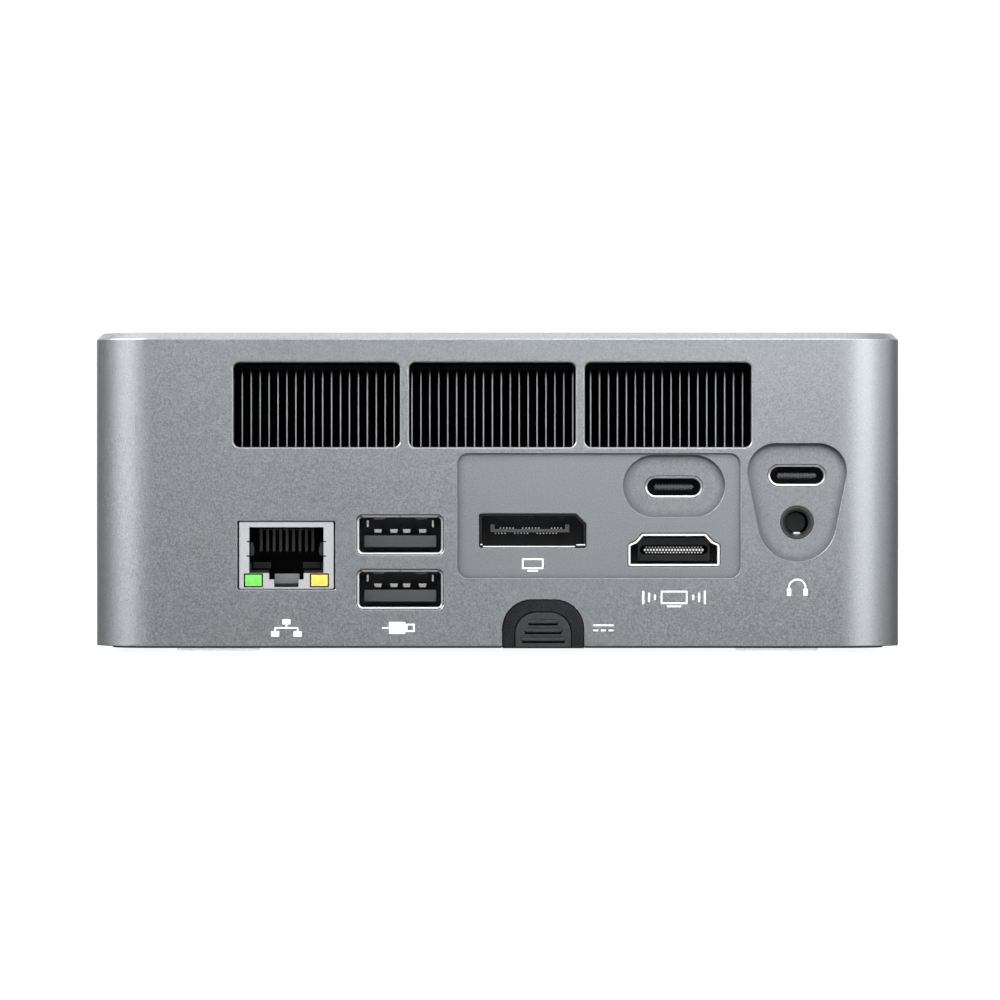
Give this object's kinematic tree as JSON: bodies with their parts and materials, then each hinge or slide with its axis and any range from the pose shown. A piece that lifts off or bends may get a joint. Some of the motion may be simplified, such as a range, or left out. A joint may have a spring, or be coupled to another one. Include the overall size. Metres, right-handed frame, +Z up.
{
  "type": "mini pc",
  "caption": "Palm-sized desktop computer: blasted metal housing with round corners, three vent windows over a rear port field, ports and power button in front, slotted base on thin feet.",
  "frame": {"origin": "middle of the footprint, on the surface that the feet stand on", "axes": "+Z up; -Y is the rear face with the port field; +X is to the right when the rear is looked at"},
  "size_m": [0.126, 0.113, 0.05],
  "materials": {
    "housing": "fine sand-blasted, silver-grey anodised",
    "base": "fine spark-eroded grain, near black",
    "foot": "pale silicone rubber, matt",
    "dark_screw": "black zinc plated",
    "screw": "nickel plated",
    "insert": "turned brass",
    "filter": "fine black nylon mesh",
    "fan_plastic": "glass-filled black",
    "motor": "copper winding",
    "duct_cover": "matt black sheet",
    "circuit_board": "green solder mask",
    "chip": "polished silicon on a green carrier",
    "steel_plate": "stamped sheet",
    "copper": "bare copper",
    "fins": "dark stamped fins with bare edges",
    "power_part": "pressed ferrite and aluminium cans",
    "socket_plastic": "moulded black",
    "coin_steel": "satin steel can",
    "socket_steel": "nickel-plated sheet",
    "dark_socket": "black nickel-plated sheet",
    "gold": "gold flash",
    "lamp_green": "clear green lens",
    "lamp_amber": "clear amber lens",
    "jack_plastic": "moulded black",
    "bezel_plastic": "moulded near black",
    "cap_plastic": "moulded dark grey",
    "light_ring": "milky diffuser",
    "plunger": "moulded natural"
  },
  "bodies": {
    "chassis": {"housing_shell": "housing", "base_cover": "base", "rubber_feet": "foot", "base_screws": "dark_screw", "bracket_inserts": "insert", "dust_filter": "filter", "intake_fan_frame": "fan_plastic", "mainboard": "circuit_board", "board_screws": "screw", "processor": "chip", "cpu_backplate": "steel_plate", "cooler_screws": "screw", "vapor_chamber": "copper", "fin_stack": "fins", "blower_frame": "fan_plastic", "blower_cover": "duct_cover", "blower_motor": "motor", "power_chokes": "power_part", "memory_socket": "socket_plastic", "memory_module_upper": "circuit_board", "memory_module_lower": "circuit_board", "ssd_module": "circuit_board", "wireless_card": "circuit_board", "card_sockets": "socket_plastic", "card_screws": "screw", "antennas": "copper", "coin_cell": "coin_steel", "lan_shield": "socket_steel", "lan_insert": "socket_plastic", "lan_contacts": "gold", "lan_led_green": "lamp_green", "lan_led_amber": "lamp_amber", "usb_upper_shell": "socket_steel", "usb_lower_shell": "socket_steel", "usb_insulator": "socket_plastic", "notched_port_shell": "dark_socket", "notched_port_insulator": "socket_plastic", "shoulder_port_shell": "socket_steel", "shoulder_port_insulator": "socket_plastic", "rear_oval_shell": "socket_steel", "rear_oval_insulator": "socket_plastic", "side_oval_shell": "socket_steel", "side_oval_insulator": "socket_plastic", "headset_jack": "jack_plastic", "dc_bezel": "bezel_plastic", "dc_inlet": "bezel_plastic", "power_light_ring": "light_ring", "power_switch": "socket_plastic", "reset_switch": "socket_plastic", "front_usb_shells": "socket_steel", "front_usb_insulators": "socket_plastic", "front_oval_shell": "socket_steel", "front_oval_insulator": "socket_plastic", "front_headset_jack": "jack_plastic"},
    "power_button": {"power_button": "housing", "power_plunger": "plunger"},
    "reset_plunger": {"reset_plunger": "plunger"},
    "blower_wheel": {"blower_rotor": "fan_plastic"},
    "intake_fan_wheel": {"intake_fan_rotor": "fan_plastic"},
    "dc_cap": {"dc_cap": "cap_plastic"}
  },
  "joints": [
    {"name": "power_press", "type": "slide", "parent": "chassis", "child": "power_button", "axis": [0, -1, 0], "range_m": [0, 0.0005], "stiffness_N_per_m": 3000},
    {"name": "reset_press", "type": "slide", "parent": "chassis", "child": "reset_plunger", "axis": [0, -1, 0], "range_m": [0, 0.00025], "stiffness_N_per_m": 3000},
    {"name": "blower_spin", "type": "hinge", "parent": "chassis", "child": "blower_wheel", "pos_m": [-0.0008, 0.007, 0.036], "axis": [0, 0, 1], "continuous": true},
    {"name": "intake_fan_spin", "type": "hinge", "parent": "chassis", "child": "intake_fan_wheel", "pos_m": [0, 0.008, 0.006], "axis": [0, 0, 1], "continuous": true},
    {"name": "dc_cap_pull", "type": "slide", "parent": "chassis", "child": "dc_cap", "axis": [0, -1, 0], "range_m": [0, 0.012]}
  ]
}
